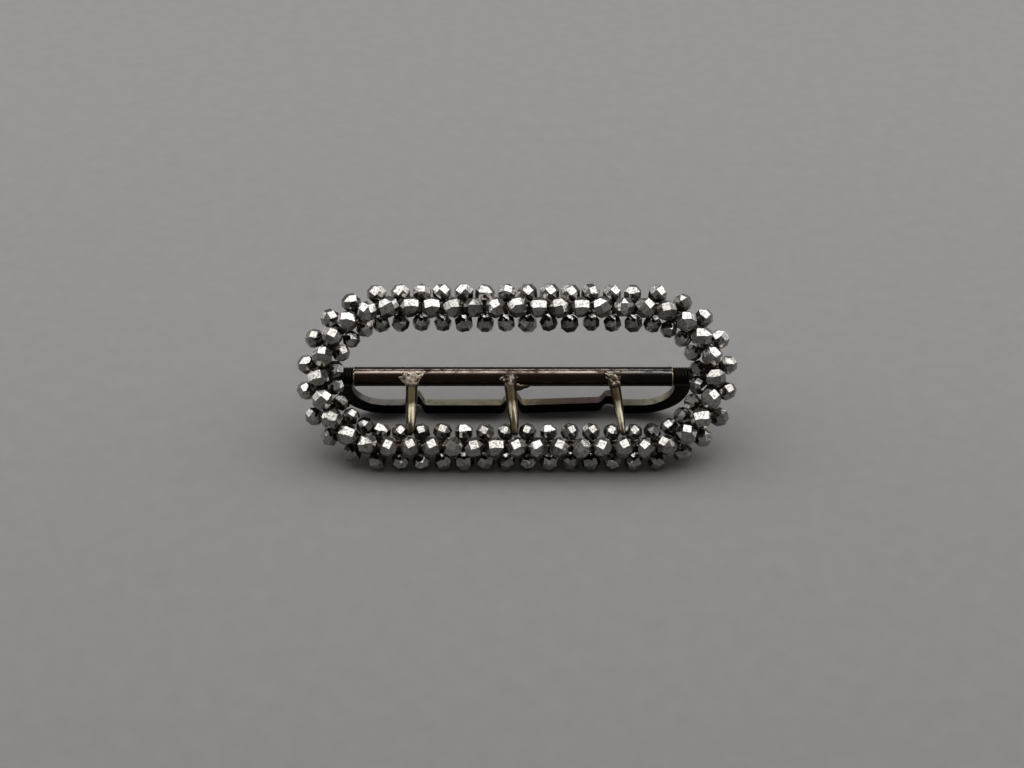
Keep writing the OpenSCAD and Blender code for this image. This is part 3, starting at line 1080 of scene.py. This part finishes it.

# %% [markdown]
# ## Brown lacquer on brass
#
# The tube was lacquered a dark red brown over the brass, and hands and cloth have worn the
# lacquer thin in mottled patches. Pale metal is painted only where these fall in a strip along
# the front of its top, where the line of light falls: a painted highlight, with the tube painted
# dark above and below it. Towards the right end it has gone grey black. The blotches are drawn
# out along the tube, the way cloth rubs it, and the lips of the ends are bare.

# %% Tube
def lacquered_tube(add):
    place_mm = in_plane_mm(add, AT_PIN)
    stretched = add("Mapping", {"Vector": place_mm, "Scale": (0.4, 0.8, 0.8)})
    mottle = add("TexNoise", {"Vector": stretched, "Scale": 1.0, "Detail": 6.0, "Roughness": 0.62})
    fleck = add("TexNoise", {"Vector": place_mm, "Scale": 3.2, "Detail": 4.0})
    worn = add("MapRange", {"Value": mottle, "From Min": 0.34, "From Max": 0.56})
    split = add("SeparateXYZ", {"Vector": place_mm})
    # Painted highlight: pale metal shows only in a band along the line where the light falls, and the
    # tube is painted dark above and below it
    above = add("Math", (split.outputs["Y"], 0.98), operation="SUBTRACT")
    off_highlight_line = add("Math", (above,), operation="ABSOLUTE")
    painted_highlight_band = add("MapRange", {"Value": off_highlight_line, "From Min": 0.1, "From Max": 0.44, "To Min": 1.0,
                                "To Max": 0.0})
    worn_and_painted_highlight = add("Math", (worn, painted_highlight_band), operation="MULTIPLY")
    grey = add("MapRange", {"Value": split.outputs["X"], "From Min": 14.0, "From Max": 22.0})
    warm = add("Mix", (worn_and_painted_highlight, "#3a2d25", "#aca198"), data_type="RGBA")
    cold = add("Mix", (worn_and_painted_highlight, "#282522", "#918e8a"), data_type="RGBA")
    brown = add("Mix", (grey, warm, cold), data_type="RGBA")
    from_middle = add("Math", (split.outputs["X"], TUBE_MID / MM), operation="SUBTRACT")
    to_end = add("Math", (from_middle,), operation="ABSOLUTE")
    lip = add("MapRange", {"Value": to_end, "From Min": 28.1, "From Max": 28.2})
    tone = add("Mix", (lip, brown, "#b3a68f"), data_type="RGBA")
    gloss = add("MapRange", {"Value": fleck, "From Min": 0.3, "From Max": 0.7, "To Min": 0.18,
                             "To Max": 0.3})
    uneven = add("Bump", {"Height": mottle, "Distance": 0.006 * MM})
    return {"Base Color": tone, "Metallic": 0.9, "Roughness": gloss, "Normal": uneven}


paint(tube, make_material("brass_tube_lacquered_brown", lacquered_tube))

# %% [markdown]
# ## Rubbed brass and solder
#
# The prongs are bare brass: olive brown where the solder's heat and flux stained them, and
# bright with lengthwise streaks further down, where the sash has drawn over them for years.
# The streaks run down each prong's own line, so each point is given its place along it.
# The solder is a pale, slightly pink grey at the left prong, and browner and duller at the
# other two. Where it runs down below the tube it is stained like the prong.

# %% Prongs and solder
GRAIN_SHIFT = 20.0


def note_grain(piece, prong, shift):
    """Writes each point's place in millimetres, measured from the root with Z down the prong."""
    root, run = prong_line(prong)
    upright = Matrix.Translation(root) @ run.to_track_quat("Z", "X").to_matrix().to_4x4()
    to_prong = (AT_PIN @ upright).inverted()
    places = []
    for vert in piece.data.vertices:
        x, y, z = to_prong @ vert.co / MM
        places += [x + shift, y, z]
    grain = piece.data.attributes.new("grain_mm", "FLOAT_VECTOR", "POINT")
    grain.data.foreach_set("vector", places)


def rubbed_brass(add):
    grain = add("Attribute", attribute_name="grain_mm")
    split = add("SeparateXYZ", {"Vector": grain.outputs["Vector"]})
    drawn = add("Mapping", {"Vector": grain.outputs["Vector"], "Scale": (2.4, 2.4, 0.14)})
    streak = add("TexNoise", {"Vector": drawn, "Scale": 1.0, "Detail": 3.0})
    blotch = add("TexNoise", {"Vector": grain.outputs["Vector"], "Scale": 0.9, "Detail": 4.0})
    uneven = add("Math", (blotch, 3.0, split.outputs["Z"]), operation="MULTIPLY_ADD")
    past_stain = add("MapRange", {"Value": uneven, "From Min": 6.2, "From Max": 7.8})
    to_point = add("MapRange", {"Value": uneven, "From Min": 10.2, "From Max": 11.6, "To Min": 1.0,
                                "To Max": 0.15})
    worn = add("MapRange", {"Value": streak, "From Min": 0.42, "From Max": 0.52})
    rubbed = add("Math", (worn, past_stain), operation="MULTIPLY")
    bared = add("Math", (rubbed, to_point), operation="MULTIPLY")
    olive = add("Mix", (blotch, "#362f24", "#4a4335"), data_type="RGBA")
    tone = add("Mix", (bared, olive, "#938d7b"), data_type="RGBA")
    gloss = add("MapRange", {"Value": streak, "To Min": 0.36, "To Max": 0.16})
    filed = add("Bump", {"Height": streak, "Distance": 0.08 * MM})
    return {"Base Color": tone, "Metallic": 1.0, "Roughness": gloss, "Normal": filed}


def soft_solder(add):
    place_mm = in_plane_mm(add, AT_PIN)
    split = add("SeparateXYZ", {"Vector": place_mm})
    crumb = add("TexNoise", {"Vector": place_mm, "Scale": 1.4, "Detail": 4.0, "Roughness": 0.55})
    tint = add("TexNoise", {"Vector": place_mm, "Scale": 0.8, "Detail": 2.0})
    cleaner = add("MapRange", {"Value": split.outputs["X"], "From Min": -14.0, "From Max": -8.0,
                               "To Min": 0.07, "To Max": -0.03})
    clean_at = add("Math", (crumb, cleaner), operation="ADD")
    clean = add("MapRange", {"Value": clean_at, "From Min": 0.46, "From Max": 0.62})
    on_tube = add("MapRange", {"Value": split.outputs["Y"], "From Min": -1.7, "From Max": -1.2})
    bare = add("Math", (clean, on_tube), operation="MULTIPLY")
    pale = add("Mix", (tint, "#cdc4b4", "#bfaca0"), data_type="RGBA")
    dirty = add("Mix", (tint, "#4d433b", "#474034"), data_type="RGBA")
    tone = add("Mix", (bare, dirty, pale), data_type="RGBA")
    chalky = add("MapRange", {"Value": bare, "To Min": 0.9, "To Max": 0.45})
    rough = add("MapRange", {"Value": crumb, "To Min": 0.5, "To Max": 0.22})
    crumbly = add("Bump", {"Height": crumb, "Distance": 0.035 * MM})
    return {"Base Color": tone, "Metallic": chalky, "Roughness": rough, "Normal": crumbly}


brass = make_material("brass_rod_rubbed_bright", rubbed_brass)
for index, (piece, prong) in enumerate(zip(prong_pieces, prongs.values())):
    note_grain(piece, prong, GRAIN_SHIFT * index)
    paint(piece, brass)
solder = make_material("soft_solder_lumpy", soft_solder)
for piece in solder_pieces:
    paint(piece, solder)

# %% [markdown]
# ## Blackened plate
#
# The loop was blackened all over. Its broad faces, its barrels and the insides of the bends
# have kept the black. Cloth has rubbed its narrow edges, but not all alike: grey on the left
# corner, olive up to the middle prong, pinkish brown past it and pale on the right corner.

# %% Loop
BARREL_PAST = 0.3 * MM
BEND_RUBBED = 0.5


def mark_edges(piece):
    """Marks each face by how much it is rubbed: the narrow edges, less in the bends, no barrel."""
    flat = (AT_LOOP @ Matrix.Translation((TUBE_MID, 0, 0))).inverted()
    shares = []
    for face in piece.data.polygons:
        middle = flat @ face.center
        in_bend = any(abs(middle.x - bend) < BEND_HALF + BEND_SLANT for bend in bends)
        on_barrel = middle.y > -KNUCKLE_D / 2 - BARREL_PAST
        sideways = 1 - abs((flat.to_3x3() @ face.normal).z)
        shares.append(0.0 if on_barrel else BEND_RUBBED * sideways if in_bend else sideways)
    edge = piece.data.attributes.new("edge_share", "FLOAT", "FACE")
    edge.data.foreach_set("value", shares)


def blackened_plate(add):
    place_mm = in_plane_mm(add, AT_LOOP)
    edge = add("Attribute", attribute_name="edge_share")
    wear = add("TexNoise", {"Vector": place_mm, "Scale": 0.9, "Detail": 6.0, "Roughness": 0.65})
    patch = add("TexNoise", {"Vector": place_mm, "Scale": 0.5, "Detail": 3.0})
    rubbed_at = add("Math", (edge.outputs["Fac"], wear), operation="MULTIPLY")
    rubbed = add("MapRange", {"Value": rubbed_at, "From Min": 0.12, "From Max": 0.5})
    split = add("SeparateXYZ", {"Vector": place_mm})
    shifted = add("Math", (patch, 6.0, split.outputs["X"]), operation="MULTIPLY_ADD")
    along_foot = add("MapRange", {"Value": shifted, "From Min": -27.0, "From Max": 33.0})
    hues = add("ValToRGB", {"Fac": along_foot})
    stops = ((0.0, "#585653"), (0.14, "#5a5854"), (0.22, "#5e5b50"), (0.3, "#625f53"), (0.42, "#5e5a4e"),
             (0.52, "#635b4c"), (0.58, "#40392f"), (0.72, "#3f3333"), (0.82, "#4b473f"), (0.9, "#5a574b"),
             (0.96, "#807c6e"))
    for index, (share, code) in enumerate(stops):
        stop = hues.color_ramp.elements[index] if index < 2 else hues.color_ramp.elements.new(share)
        stop.position = share
        stop.color = linear(code)
    black = add("Mix", (wear, "#141210", "#2b2622"), data_type="RGBA")
    tone = add("Mix", (rubbed, black, hues), data_type="RGBA")
    rough = add("MapRange", {"Value": wear, "To Min": 0.55, "To Max": 0.35})
    pitted = add("Bump", {"Height": wear, "Distance": 0.05 * MM})
    return {"Base Color": tone, "Metallic": 0.9, "Roughness": rough, "Normal": pitted}


mark_edges(loop)
paint(loop, make_material("steel_plate_blackened_and_rubbed", blackened_plate))

# %% [markdown]
# ## What each piece stands for and rides on
#
# Every new piece moves with a body of the imported model, and hides the plainer piece that it
# stands for.

# %% Bodies and replaced pieces
for row, node in zip(rows, ("outer_beads", "middle_beads", "inner_beads")):
    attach(row, "frame")
    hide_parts(node)
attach(wire, "frame")
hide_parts("binding_wire")
for piece in [tube] + prong_pieces + solder_pieces:
    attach(piece, "bar")
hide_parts("prong_bar")
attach(loop, "loop")
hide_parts("sash_loop")
